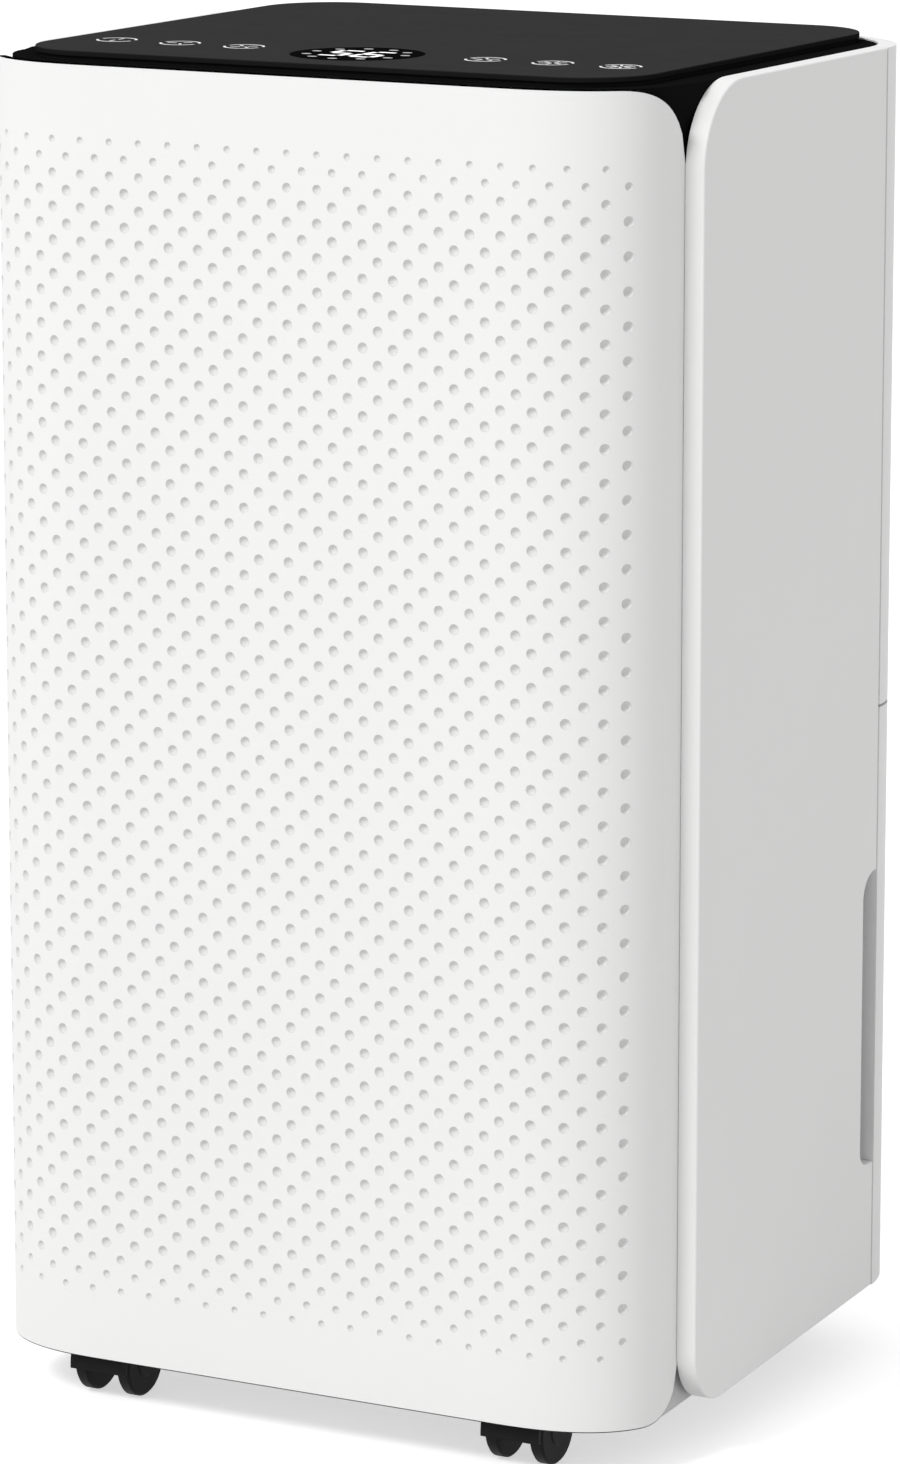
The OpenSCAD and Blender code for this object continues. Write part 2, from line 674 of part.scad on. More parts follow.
// Closed tube swept along a list of points
module swept_tube(path, r, sides) {
  n = len(path);
  function heading(i) = let (d = path[min(i + 1, n - 1)] - path[max(i - 1, 0)]) d / norm(d);
  function side_axis(i) = let (t = heading(i), s = cross(t, abs(t.z) > 0.9 ? [0, 1, 0] : [0, 0, 1]))
    s / norm(s);
  points = [for (i = [0:n - 1], k = [0:sides - 1]) let (a = 360 * k / sides,
      s = side_axis(i), u = cross(heading(i), s)) path[i] + r * (cos(a) * s + sin(a) * u)];
  faces = concat(
    [[for (k = [0:sides - 1]) k]],
    [for (i = [0:n - 2], k = [0:sides - 1]) let (j = (k + 1) % sides)
      [i * sides + k, (i + 1) * sides + k, (i + 1) * sides + j, i * sides + j]],
    [[for (k = [sides - 1:-1:0]) (n - 1) * sides + k]]);
  polyhedron(points, faces, convexity = 6);
}
capillary_r = 1.3;
module capillary_tube() {
  turns = 4;
  steps = 14;
  coil_r = 13;
  centre = [drier_pos.x - coil_r, drier_pos.y, 84];
  winding = [for (i = [0:turns * steps]) let (a = 360 * i / steps)
    centre + [coil_r * cos(a), coil_r * sin(a), -3.4 * i / steps]];
  color(copper) {
    swept_tube(concat([[drier_pos.x, drier_pos.y, 98], [drier_pos.x, drier_pos.y, 92]],
                      winding), capillary_r, 6);
    translate([0, 0, -eps]) pipe([[drier_pos.x, drier_pos.y, 84 - 3.4 * turns + 1.5],
          [drier_pos.x, drier_pos.y, 60], [drier_pos.x, -78, 60],
          [drier_pos.x, -78, last_evaporator_tube],
          [drier_pos.x, evaporator_mid, last_evaporator_tube],
          [coil_end, evaporator_mid, last_evaporator_tube]], capillary_r, 4);
  }
}
module filter_drier() {
  color(copper) translate([drier_pos.x, drier_pos.y, 98]) rotate_extrude()
    polygon([[0, 0], [2.4, 0], [2.4, 6], [10, 16], [10, 74], [4.5, 84], [4.5, 92], [0, 92]]);
}
module compressor() {
  base = plate[1] + 9;
  profile = concat([[0, base + 6]], arc([comp_r - 14, base + 20], 14, 270, 360),
    arc([comp_r - 22, comp_top - 22], 22, 0, 90), [[0, comp_top]]);
  color([0.12, 0.12, 0.13]) difference() {
    union() {
      translate([comp_pos.x, comp_pos.y, 0]) rotate_extrude() polygon(profile);
      // Foot plate with three ears
      translate([comp_pos.x, comp_pos.y, base]) {
        cylinder(h = 8, r = 30);
        for (a = ears) rotate([0, 0, a]) {
          translate([0, -8, 0]) cube([ear_at, 16, 3]);
          translate([ear_at, 0, 0]) cylinder(h = 3, r = 8);
        }
      }
      // Suction accumulator and its strap
      translate([accu_pos.x, accu_pos.y, 78]) rotate_extrude()
        polygon(concat([[0, 0]], arc([12, 6], 6, 270, 360, 4), arc([8, 98], 10, 0, 90, 6), [[0, 108]]));
      block([comp_pos.x + 30, accu_pos.y - 4, 130], [accu_pos.x - 12, accu_pos.y + 4, 146]);
      rod_z(comp_pos.x, comp_pos.y, [comp_top - 2, comp_top + 6], 6);
    }
    // Hollow can
    translate([comp_pos.x, comp_pos.y, base + 20]) cylinder(h = comp_top - base - 44, r = comp_r - 9);
    at_ears() translate([0, 0, base - 1]) cylinder(h = 6, r = 5);
    rod_z(comp_pos.x, comp_pos.y, [comp_top, comp_top + 7], tube_r);
    rod_z(accu_pos.x, accu_pos.y, [186, 187], tube_r);
  }
}
module at_ears() {
  for (a = ears) translate([comp_pos.x, comp_pos.y, 0]) rotate([0, 0, a])
    translate([ear_at, 0, 0]) children();
}
module terminal_cover() {
  color(black) {
    translate([comp_pos.x, comp_pos.y, 140]) rotate([0, 0, -100]) difference() {
      translate([comp_r - 6, -16, 0]) cube([16, 32, 40]);
      translate([0, 0, -1]) cylinder(h = 42, r = comp_r);
    }
  }
}
module compressor_grommets() {
  color(black) at_ears() translate([0, 0, plate[1]]) rotate_extrude()
    polygon([[3, 0], [8, 0], [8, 9], [5, 9], [5, 12], [7.5, 12], [7.5, 16], [3, 16]]);
}
module compressor_bolts() {
  color(steel) at_ears() translate([0, 0, plate[1]]) {
    cylinder(h = 18, r = 3);
    translate([0, 0, 16]) cylinder(h = 4, r = 5.5, $fn = 6);
  }
}

// --- Rear services --------------------------------------------------------

module cord_gland() {
  color(black) difference() {
    union() {
      rod_y(gland.x, [rear_y - 9, rear_y - 1], service_z, gland[1]);
      rod_y(gland.x, [rear_y - 6, rear_y - wall], service_z, gland[1] + 2.5);
      rod_y(gland.x, [rear_y - 1 - eps, rear_y], service_z, gland[1] - 0.6);
    }
    rod_y(gland.x, [rear_y - 10, rear_y + 1], service_z, gland[2]);
  }
}
module drain_plug() {
  color(black) {
    rod_y(spigot.x, [spigot_y[1] - 12, spigot_y[1]], service_z, spigot[2] - running);
    rod_y(spigot.x, [spigot_y[1], rear_y], service_z, spigot[1] - 0.2);
  }
}
module cover_screws() {
  head_y = [rear_y - 0.2 - screw_head[1], rear_y - 0.2];
  color(steel) at_screws() difference() {
    union() {
      rod_y(0, [rear_y - 8, head_y[0] + eps], 0, screw_r);
      rod_y(0, head_y, 0, screw_head[0]);
    }
    for (half = [[2.1, 0.35], [0.35, 2.1]])
      block([-half[0], head_y[1] - 0.5, -half[1]], [half[0], rear_y, half[1]]);
  }
}

// --- Filter ---------------------------------------------------------------

grille_x = window_x - gap;
grille_z = intake_z + [gap, -gap];
module intake_grille() {
  y = [rear_y - 7, rear_y];
  edge = 6;
  bars = 19;
  pitch = (grille_z[1] - grille_z[0] - 2 * edge) / bars;
  open = [[-grille_x + edge, grille_z[0] + edge], [grille_x - edge, grille_z[1] - edge]];
  color(white) {
    difference() {
      block([-grille_x, y[0], grille_z[0]], [grille_x, y[1], grille_z[1]]);
      block([open[0].x, y[0] - 1, open[0].y], [open[1].x, y[1] + 1, open[1].y]);
      // Finger recess in the upper edge
      block([-20, rear_y - 3, grille_z[1] - 4], [20, rear_y + 1, grille_z[1] + 1]);
    }
    for (i = [1:bars - 1])
      block([open[0].x - eps, rear_y - 5, open[0].y + i * pitch - 1.3],
            [open[1].x + eps, rear_y - 0.6, open[0].y + i * pitch + 1.3]);
    for (x = [-52, -26, 0, 26, 52])
      block([x - 1, rear_y - 6.5, open[0].y - eps], [x + 1, rear_y - 3, open[1].y + eps]);
  }
}
// Frame of the net: shallow cells with the net as their floor
module filter_screen() {
  y = [rear_y - 10, rear_y - 7];
  edge = 3;
  rib = 3;
  cells = [6, 5];
  low = [-grille_x + edge, grille_z[0] + edge];
  size = [2 * (grille_x - edge), grille_z[1] - grille_z[0] - 2 * edge];
  step = [(size.x - rib) / cells.x, (size.y - rib) / cells.y];
  color([0.35, 0.36, 0.38]) difference() {
    block([low.x, y[0], low.y], [low.x + size.x, y[1], low.y + size.y]);
    for (i = [0:cells.x - 1], j = [0:cells.y - 1]) {
      a = low + [rib + i * step.x, rib + j * step.y];
      block([a.x, y[0] + 1, a.y], [a.x + step.x - rib, y[1] + 1, a.y + step.y - rib]);
    }
  }
}

// --- Water tank -----------------------------------------------------------

tub_front = bay_front + 3;
tub_z = [plate[1] + 0.3, 246];
gauge = [9, 80, 210];           // half width, lower and upper end of the level window
module tub_plan(inset, z) {
  intersection() {
    prism(rounded([-tub_half_w + inset, tub_front + inset], [tub_half_w - inset, rear_y], 14 - inset), z);
    prism(rear_plan([wall + gap + inset, wall + gap + inset], 0), z + [-1, 1]);
  }
}
// Clear tub with a pour lip and the two ears that carry the float
module water_tank() {
  color([0.8, 0.84, 0.86]) {
    difference() {
      tub_plan(0, tub_z);
      tub_plan(wall, [tub_z[0] + wall, tub_z[1] + 1]);
    }
    for (x = [-104, -66]) difference() {
      block([x, tub_front + wall - eps, 218], [x + 3, tub_front + 20, 230]);
      rod_x([x - 1, x + 4], float_axis.y, float_axis.z, float_pin_r + running);
    }
  }
}
// White wall behind and beside the tub, rounded at its lower rear edge, with a lip for the fingers
module tank_shell() {
  low = ground_gap - 2;
  bottom_r = 9;
  color(white) intersection() {
    difference() {
      union() {
        difference() {
          prism(rear_plan([0, 0], shell_front), [low, tank_top]);
          prism(rear_plan([wall, wall], shell_front - 1), [low - 1, tank_top + 1]);
        }
        both_sides() {
          block([tub_half_w, shell_front, low], [half_w - 1, shell_front + wall, tank_top]);
          block([tub_half_w, shell_front + 1, tub_z[0]], [half_w - 3, shell_front + 18, tub_z[0] + wall]);
        }
      }
      below_belly();
      block([-gauge[0], rear_y - 6, gauge[1]], [gauge[0], rear_y + 1, gauge[2]]);
    }
    along_x([-half_w, half_w], concat(
      [[shell_front - 1, 0], [rear_y - bottom_r, 0]],
      arc([rear_y - bottom_r, belly(rear_y) + bottom_r], bottom_r, 270, 360),
      [[rear_y, tank_top + 1], [shell_front - 1, tank_top + 1]]));
  }
}
module tank_lid() {
  color([0.85, 0.87, 0.88]) difference() {
    tub_plan(0.5, [tub_z[1], tub_z[1] + 2.2]);
    rod_z(0, 60, [tub_z[1] - 1, tub_z[1] + 4], 22);
    block([-90, 84, tub_z[1] - 1], [-50, 100, tub_z[1] + 4]);
  }
}
module level_window() {
  color([0.55, 0.6, 0.62, 0.5]) {
    block([-gauge[0], rear_y - wall, gauge[1]], [gauge[0], rear_y, gauge[2]]);
    for (z = [gauge[1] + 15:20:gauge[2] - 10])
      block([-5, rear_y - wall - 0.25, z], [5, rear_y - wall + eps, z + 1]);
  }
}
float_axis = [0, tub_front + 15, 224];
float_pin_r = 1.5;
module tank_float() {
  color([0.9, 0.9, 0.88]) difference() {
    union() {
      rod_x([-103.5, -63.5], float_axis.y, float_axis.z, float_pin_r);
      block([-98, float_axis.y - 3, float_axis.z - 3], [-69, float_axis.y + 3, float_axis.z + 3]);
      block([-92, float_axis.y + 2, float_axis.z - 2], [-75, float_axis.y + 36, float_axis.z + 1]);
      prism(rounded([-100, float_axis.y + 30], [-67, float_axis.y + 62], 6), [200, 226]);
    }
    rod_z(-83.5, float_axis.y + 10, [float_axis.z - 3, float_axis.z + 2], 5);
  }
}
module float_magnet() {
  color(steel) rod_z(-83.5, float_axis.y + 10, [float_axis.z - 2, float_axis.z + 1], 5);
}

// --- Casters --------------------------------------------------------------

module caster_fork() {
  hub_y = -trail;
  cheek = 4;
  outer = wheel_gap / 2 + tread / 2;
  color(black) difference() {
    union() {
      // Web between the wheels, and the hood over them
      rod_x([-cheek, cheek], hub_y, wheel_r, 4.8);
      block([-cheek, hub_y - 4.8, wheel_r], [cheek, 10, fork_top - 1]);
      intersection() {
        difference() {
          rod_x([-outer, outer], hub_y, wheel_r, wheel_r + 2.8);
          rod_x([-30, -cheek], hub_y, wheel_r, wheel_r + 1);
          rod_x([cheek, 30], hub_y, wheel_r, wheel_r + 1);
        }
        block([-30, hub_y - 20, wheel_r - 1.4], [30, 20, fork_top - 1]);
      }
      rod_z(0, 0, [fork_top - 4, fork_top], 9);
      rod_z(0, 0, [fork_top - eps, plate[1] - 2], stem_r);
    }
    rod_x([-30, 30], hub_y, wheel_r, 1.5 + running);
  }
}
module caster_wheels() {
  face = tread / 2;
  edge = 0.8;
  profile = [[0, -face - 0.4], [5, -face - 0.4], [5.4, -face], [wheel_r - edge, -face],
    [wheel_r, -face + edge], [wheel_r, face - edge], [wheel_r - edge, face], [5.4, face],
    [5, face + 0.4], [0, face + 0.4]];
  color(black) {
    for (side = [-1, 1]) translate([side * wheel_gap / 2, -trail, wheel_r]) rotate([0, 90, 0])
      rotate_extrude() polygon(profile);
    rod_x([-wheel_gap / 2, wheel_gap / 2], -trail, wheel_r, 1.5);
  }
}
module at_stem(side, row) {
  translate([side * stem_x, stem_y[row], 0]) children();
}

front_cover();
side_panel_left();
side_panel_right();
rear_cover();
outlet_louvre();
top_tray();
touch_base();
touch_glass();
display_board();
base_chassis();
inner_frame();
tray_posts();
control_box();
control_box_lid();
run_capacitor();
humidity_sensor();
fan_volute();
outlet_duct();
motor_bracket();
fan_motor();
fan_rotor();
fan_shaft();
evaporator();
condenser();
drip_tray();
refrigerant_pipes();
capillary_tube();
filter_drier();
compressor();
terminal_cover();
compressor_grommets();
compressor_bolts();
tank_sensor();
cord_gland();
drain_plug();
cover_screws();
intake_grille();
filter_screen();
water_tank();
tank_shell();
tank_lid();
level_window();
tank_float();
float_magnet();
at_stem(-1, 0) caster_fork();  // caster_fork_front_left
at_stem(1, 0) caster_fork();  // caster_fork_front_right
at_stem(-1, 1) caster_fork();  // caster_fork_rear_left
at_stem(1, 1) caster_fork();  // caster_fork_rear_right
at_stem(-1, 0) caster_wheels();  // caster_wheels_front_left
at_stem(1, 0) caster_wheels();  // caster_wheels_front_right
at_stem(-1, 1) caster_wheels();  // caster_wheels_rear_left
at_stem(1, 1) caster_wheels();  // caster_wheels_rear_right
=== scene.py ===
"""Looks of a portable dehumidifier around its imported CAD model.

Everything is in metres, in the model's frame: X is the width, the front faces -Y and Z is up.
"""

import json
import math

import bmesh
import bpy
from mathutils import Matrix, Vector

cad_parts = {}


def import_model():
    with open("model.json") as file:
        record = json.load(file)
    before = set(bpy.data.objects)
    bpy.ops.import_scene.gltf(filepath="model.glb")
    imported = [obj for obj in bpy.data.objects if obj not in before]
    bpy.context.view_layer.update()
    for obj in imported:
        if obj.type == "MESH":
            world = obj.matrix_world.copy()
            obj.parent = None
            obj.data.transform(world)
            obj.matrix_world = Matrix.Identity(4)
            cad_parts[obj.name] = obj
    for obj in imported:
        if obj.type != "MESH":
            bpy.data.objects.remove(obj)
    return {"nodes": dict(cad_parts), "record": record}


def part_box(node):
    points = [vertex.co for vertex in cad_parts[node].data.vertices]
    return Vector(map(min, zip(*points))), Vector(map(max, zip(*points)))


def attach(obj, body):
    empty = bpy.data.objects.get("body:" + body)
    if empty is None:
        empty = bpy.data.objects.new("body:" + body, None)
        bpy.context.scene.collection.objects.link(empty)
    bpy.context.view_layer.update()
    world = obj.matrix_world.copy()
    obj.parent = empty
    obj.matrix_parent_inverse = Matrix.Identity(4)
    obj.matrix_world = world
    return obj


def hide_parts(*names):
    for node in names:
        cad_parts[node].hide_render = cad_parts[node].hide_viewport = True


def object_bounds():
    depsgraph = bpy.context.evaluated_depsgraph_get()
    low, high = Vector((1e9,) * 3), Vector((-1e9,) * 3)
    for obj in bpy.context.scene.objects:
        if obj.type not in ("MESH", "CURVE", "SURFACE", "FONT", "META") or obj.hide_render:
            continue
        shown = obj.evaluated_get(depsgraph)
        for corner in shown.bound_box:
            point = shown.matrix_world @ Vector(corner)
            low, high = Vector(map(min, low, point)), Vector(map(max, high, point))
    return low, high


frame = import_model()
cad_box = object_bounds()
nodes = frame["nodes"]
MM = 0.001


# --- Materials ---------------------------------------------------------------


def principled(name, **values):
    """A new material and its Principled shader, with plain values set on the shader's own sockets."""
    material = bpy.data.materials.new(name)
    material.use_nodes = True
    shader = material.node_tree.nodes["Principled BSDF"]
    for socket, value in values.items():
        shader.inputs[socket.replace("_", " ")].default_value = value
    return material, shader


def add_node(material, kind, links=(), **settings):
    """A node in the material's tree. Settings are its attributes, or else its sockets."""
    node = material.node_tree.nodes.new(kind)
    for name, value in settings.items():
        if hasattr(node, name):
            setattr(node, name, value)
        else:
            node.inputs[name.replace("_", " ")].default_value = value
    for socket, source in links:
        material.node_tree.links.new(source, node.inputs[socket])
    return node


def grain(material, shader, size, height, around=None, blotch=0.0, colour=None, rounded=0.0):
    """Fine moulded grain of that size in metres, as bump and as slight changes of roughness and colour."""
    place = add_node(material, "ShaderNodeTexCoord").outputs["Object"]
    fine = add_node(material, "ShaderNodeTexNoise", [("Vector", place)],
                    Scale=1 / size, Detail=3.0, Roughness=0.6)
    bump = add_node(material, "ShaderNodeBump", [("Height", fine.outputs["Fac"])],
                    Strength=0.35, Distance=height)
    if rounded:
        edge = add_node(material, "ShaderNodeBevel", samples=4, Radius=rounded)
        material.node_tree.links.new(edge.outputs["Normal"], bump.inputs["Normal"])
    material.node_tree.links.new(bump.outputs["Normal"], shader.inputs["Normal"])
    if around is not None:
        broad = add_node(material, "ShaderNodeTexNoise", [("Vector", place)], Scale=60.0, Detail=4.0)
        spread = add_node(material, "ShaderNodeMapRange", [("Value", broad.outputs["Fac"])],
                          To_Min=around - 0.05, To_Max=around + 0.05)
        material.node_tree.links.new(spread.outputs["Result"], shader.inputs["Roughness"])
    if blotch:
        cloud = add_node(material, "ShaderNodeTexNoise", [("Vector", place)], Scale=9.0, Detail=5.0)
        mix = add_node(material, "ShaderNodeMix", data_type="RGBA")
        darker = [c * (1 - blotch) for c in colour[:3]] + [1]
        mix.inputs[6].default_value = darker
        mix.inputs[7].default_value = colour
        material.node_tree.links.new(cloud.outputs["Fac"], mix.inputs[0])
        material.node_tree.links.new(mix.outputs[2], shader.inputs["Base Color"])
    return material


def plastic(name, colour, rough, size=0.35 * MM, height=0.03 * MM, blotch=0.03, rounded=0.0, **more):
    colour = (*colour, 1)
    material, shader = principled(name, Base_Color=colour, Roughness=rough, **more)
    return grain(material, shader, size, height, rough, blotch, colour, rounded)


def metal(name, colour, rough, stretch=(1, 1, 30), size=0.5 * MM, height=0.01 * MM):
    """Drawn, rolled or plated metal: grain that runs across one direction."""
    material, shader = principled(name, Base_Color=(*colour, 1), Roughness=rough, Metallic=1.0)
    place = add_node(material, "ShaderNodeTexCoord").outputs["Object"]
    scaled = add_node(material, "ShaderNodeMapping", [("Vector", place)], Scale=stretch)
    lines = add_node(material, "ShaderNodeTexNoise", [("Vector", scaled.outputs["Vector"])],
                     Scale=1 / size / max(stretch), Detail=4.0)
    bump = add_node(material, "ShaderNodeBump", [("Height", lines.outputs["Fac"])],
                    Strength=0.4, Distance=height)
    spread = add_node(material, "ShaderNodeMapRange", [("Value", lines.outputs["Fac"])],
                      To_Min=rough - 0.08, To_Max=rough + 0.1)
    material.node_tree.links.new(bump.outputs["Normal"], shader.inputs["Normal"])
    material.node_tree.links.new(spread.outputs["Result"], shader.inputs["Roughness"])
    return material


def net():
    """Woven filter net: threads along X and Z, with dark openings between them."""
    pitch = 1.2 * MM
    material, shader = principled("filter_net", Base_Color=(0.1, 0.105, 0.11, 1), Roughness=0.7)
    place = add_node(material, "ShaderNodeTexCoord").outputs["Object"]
    threads = []
    for direction in ("X", "Z"):
        wave = add_node(material, "ShaderNodeTexWave", [("Vector", place)], bands_direction=direction,
                        Scale=1 / pitch / (2 * math.pi), Distortion=0.0)
        threads.append(wave.outputs["Fac"])
    weave = add_node(material, "ShaderNodeMath", operation="MAXIMUM")
    for socket, thread in zip(weave.inputs, threads):
        material.node_tree.links.new(thread, socket)
    ramp = add_node(material, "ShaderNodeValToRGB", [("Fac", weave.outputs["Value"])])
    ramp.color_ramp.elements[0].position = 0.55
    ramp.color_ramp.elements[0].color = (0.012, 0.012, 0.013, 1)
    ramp.color_ramp.elements[1].position = 0.9
    ramp.color_ramp.elements[1].color = (0.16, 0.165, 0.17, 1)
    bump = add_node(material, "ShaderNodeBump", [("Height", weave.outputs["Value"])], Distance=0.2 * MM)
    material.node_tree.links.new(ramp.outputs["Color"], shader.inputs["Base Color"])
    material.node_tree.links.new(bump.outputs["Normal"], shader.inputs["Normal"])
    return material


EDGE = 0.4 * MM                         # radius to which shading rounds a plain CAD edge
MATERIALS = {
    "white_shell": plastic("white_shell", (0.85, 0.85, 0.845), 0.5, rounded=EDGE, Specular_IOR_Level=0.3),
    "grey_plastic": plastic("grey_plastic", (0.55, 0.55, 0.55), 0.5, rounded=EDGE),
    "black_plastic": plastic("black_plastic", (0.008, 0.008, 0.0083), 0.6, size=0.6 * MM, height=0.05 * MM,
                             blotch=0.2, rounded=EDGE, Specular_IOR_Level=0.0),
    "touch_glass": plastic("touch_glass", (0.0245, 0.0245, 0.025), 0.75, size=0.25 * MM, height=0.01 * MM,
                           blotch=0.08, rounded=EDGE, Specular_IOR_Level=0.01),
    "circuit": plastic("circuit", (0.01, 0.09, 0.04), 0.4, blotch=0.3),
    "copper_tube": metal("copper_tube", (0.72, 0.36, 0.2), 0.3),
    "aluminium_fin": metal("aluminium_fin", (0.78, 0.79, 0.8), 0.32, stretch=(30, 1, 1)),
    "zinc_steel": metal("zinc_steel", (0.6, 0.61, 0.63), 0.35),
    "compressor_paint": plastic("compressor_paint", (0.015, 0.015, 0.017), 0.35, size=1.2 * MM, blotch=0.2),
    "black_rubber": plastic("black_rubber", (0.02, 0.02, 0.02), 0.75, size=0.5 * MM, blotch=0.25,
                            rounded=EDGE),
    "filter_net": net(),
    "frosted_plastic": plastic("frosted_plastic", (0.66, 0.69, 0.71), 0.3, Transmission_Weight=0.25),
    "smoked_window": plastic("smoked_window", (0.16, 0.18, 0.19), 0.16, height=0.004 * MM,
                             Transmission_Weight=0.35),
    "float_foam": plastic("float_foam", (0.7, 0.7, 0.67), 0.8, size=1.0 * MM, height=0.1 * MM),
    "caster_plastic": plastic("caster_plastic", (0.006, 0.006, 0.0062), 0.5, blotch=0.15, rounded=EDGE,
                              Specular_IOR_Level=0.12),
}


# --- Pieces ------------------------------------------------------------------


def finish_piece(name, mesh, slot, body="cabinet", replaces=()):
    """An object of that mesh, in its slot's material, that rides on its body and stands for CAD nodes."""
    piece = bpy.data.objects.new(name, mesh)
    bpy.context.scene.collection.objects.link(piece)
    mesh.materials.append(MATERIALS[slot])
    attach(piece, body)
    if replaces:
        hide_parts(*replaces)
    return piece


def arc(centre, radius, start, end, steps):
    """Points on an arc, with angles in degrees."""
    angles = [math.radians(start + (end - start) * i / steps) for i in range(steps + 1)]
    return [(centre[0] + radius * math.cos(a), centre[1] + radius * math.sin(a)) for a in angles]


def plate(outline, place, span, fillets, segments=5):
    """Mesh of a plate between two planes, with a fillet round each rim.

    place(u, v, w) gives the point of the outline's (u, v) at height w.
    """
    bm = bmesh.new()
    rings = [[bm.verts.new(place(u, v, w)) for u, v in outline] for w in span]
    caps = [bm.faces.new(ring) for ring in rings]
    for i in range(len(outline)):
        j = (i + 1) % len(outline)
        bm.faces.new((rings[0][i], rings[0][j], rings[1][j], rings[1][i]))
    bmesh.ops.recalc_face_normals(bm, faces=bm.faces)
    for cap, radius in zip(caps, fillets):
        if radius:
            bmesh.ops.bevel(bm, geom=list(cap.edges), offset=radius, segments=segments, profile=0.5,
                            affect="EDGES", clamp_overlap=True)
    mesh = bpy.data.meshes.new("plate")
    bm.to_mesh(mesh)
    bm.free()
    mesh.shade_smooth()
    mesh.set_sharp_from_angle(angle=math.radians(32))
    return mesh


def weighted(piece):
    """Keeps large flat faces flat in shade beside their fillets."""
    modifier = piece.modifiers.new("flat_faces", "WEIGHTED_NORMAL")
    modifier.keep_sharp = True
    return piece


# --- Front cover -------------------------------------------------------------

cover_low, cover_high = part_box("front_cover")
COVER_HALF = cover_high.x
REACH = (53.4 * MM, 41 * MM)            # reach of the corner's superellipse in X and Y
POWER = 2.5                             # exponent of that superellipse
FLAT = COVER_HALF - REACH[0]            # half width of the flat face
BACK = cover_low.y + REACH[1]
TOP_R = 30 * MM                         # corners in side view
LOW_R = 20.5 * MM
WALL = 2.5 * MM
RIM = 0.45 * MM                         # fillet of the cover's edges
HALF_PITCH = 6 * MM                     # the dots lie on every second crossing of a grid this fine
DOT_MIDDLE = cover_high.z - 219 * MM
DOT_ROWS = (-32, 38)                    # first and last row, counted down from DOT_MIDDLE
LAST_COLUMN = 21
DOT_R = 1.875 * MM
DOT_DEPTH = 1.43 * MM
SPLIT = 4                               # grid lines to a lattice cell
SIDE_STEPS = 12                         # columns beside the lattice, round the end of the corner
EDGE_STEPS = 3                          # rows above and below the lattice
BOWL_RINGS = (1.07, 0.95, 0.74, 0.42)   # rings of a dot as shares of its radius, the first on the face


def side_arc(share):
    """Point and outward normal of the corner, from the flat face (0) round to the side (1)."""
    angle = math.radians(90 * share)
    s, c = math.sin(angle), math.cos(angle)
    point = (FLAT + REACH[0] * s ** (2 / POWER), BACK - REACH[1] * c ** (2 / POWER))
    normal = Vector((s ** (2 - 2 / POWER) / REACH[0], -(c ** (2 - 2 / POWER)) / REACH[1], 0)).normalized()
    return point, normal


def cover_column(x):
    """(x, y) and outward normal of the front cover's plan at x."""
    share = max(0.0, (abs(x) - FLAT) / REACH[0])
    if share == 0:
        return (x, cover_low.y), Vector((0, -1, 0))
    (_, y), normal = side_arc(math.degrees(math.asin(min(1.0, share ** (POWER / 2)))) / 90)
    return (x, y), Vector((math.copysign(normal.x, x), normal.y, 0))


def cover_columns():
    """The sheet's columns from left to right: the lattice's own lines, then the steep ends of the corners."""
    edge = (LAST_COLUMN + 0.5) * HALF_PITCH
    start = math.degrees(math.asin(((edge - FLAT) / REACH[0]) ** (POWER / 2))) / 90
    end = math.degrees(math.acos((RIM / REACH[1]) ** (POWER / 2))) / 90
    sides = [side_arc(start + (end - start) * i / SIDE_STEPS) for i in range(1, SIDE_STEPS + 1)]
    lattice = [cover_column(edge * (2 * i / ((2 * LAST_COLUMN + 1) * SPLIT) - 1))
               for i in range((2 * LAST_COLUMN + 1) * SPLIT + 1)]
    left = [((-x, y), Vector((-n.x, n.y, 0))) for (x, y), n in reversed(sides)]
    return left + lattice + sides


def cover_ends(y):
    """Lowest and highest z of the sheet at y, inside the fillet of its edge."""
    into_top = max(0.0, y - (BACK - TOP_R))
    into_low = max(0.0, y - (BACK - LOW_R))
    high = cover_high.z - TOP_R + math.sqrt(max(0.0, (TOP_R - RIM) ** 2 - into_top ** 2))
    low = cover_low.z + LOW_R - math.sqrt(max(0.0, (LOW_R - RIM) ** 2 - into_low ** 2))
    return low, high


def cover_rows(y, lattice_edge):
    """Heights of the sheet's rows at y. Beside the lattice its rows close up towards the rounded ends."""
    low, high = cover_ends(y)
    edge_low, edge_high = cover_ends(lattice_edge)
    below = DOT_MIDDLE - (DOT_ROWS[1] + 0.5) * HALF_PITCH + max(0.0, low - edge_low)
    above = DOT_MIDDLE - (DOT_ROWS[0] - 0.5) * HALF_PITCH - max(0.0, edge_high - high)
    count = (DOT_ROWS[1] - DOT_ROWS[0] + 1) * SPLIT
    return ([low + (below - low) * i / EDGE_STEPS for i in range(EDGE_STEPS)]
            + [below + (above - below) * i / count for i in range(count + 1)]
            + [high + (above - high) * i / EDGE_STEPS for i in range(EDGE_STEPS - 1, -1, -1)])


def dot_share(row):
    """Dots grow over the first rows from the upper and the lower edge."""
    return min(1.0, 0.66 + 0.11 * min(row - DOT_ROWS[0], DOT_ROWS[1] - row))


class Sheet:
    """Vertices with their own shading normals, and faces."""

    def __init__(self):
        self.points, self.normals, self.faces, self.sunk = [], [], [], set()

    def add(self, point, normal):
        self.points.append(tuple(point))
        self.normals.append(tuple(normal))
        return len(self.points) - 1

    def mesh(self, name):
        mesh = bpy.data.meshes.new(name)
        mesh.from_pydata(self.points, [], self.faces)
        # Faces inside the dots' rims take the second slot, whose darker colour is painted shade
        mesh.polygons.foreach_set("material_index", [int(i in self.sunk) for i in range(len(self.faces))])
        mesh.shade_smooth()
        mesh.normals_split_custom_set_from_vertices(self.normals)
        return mesh


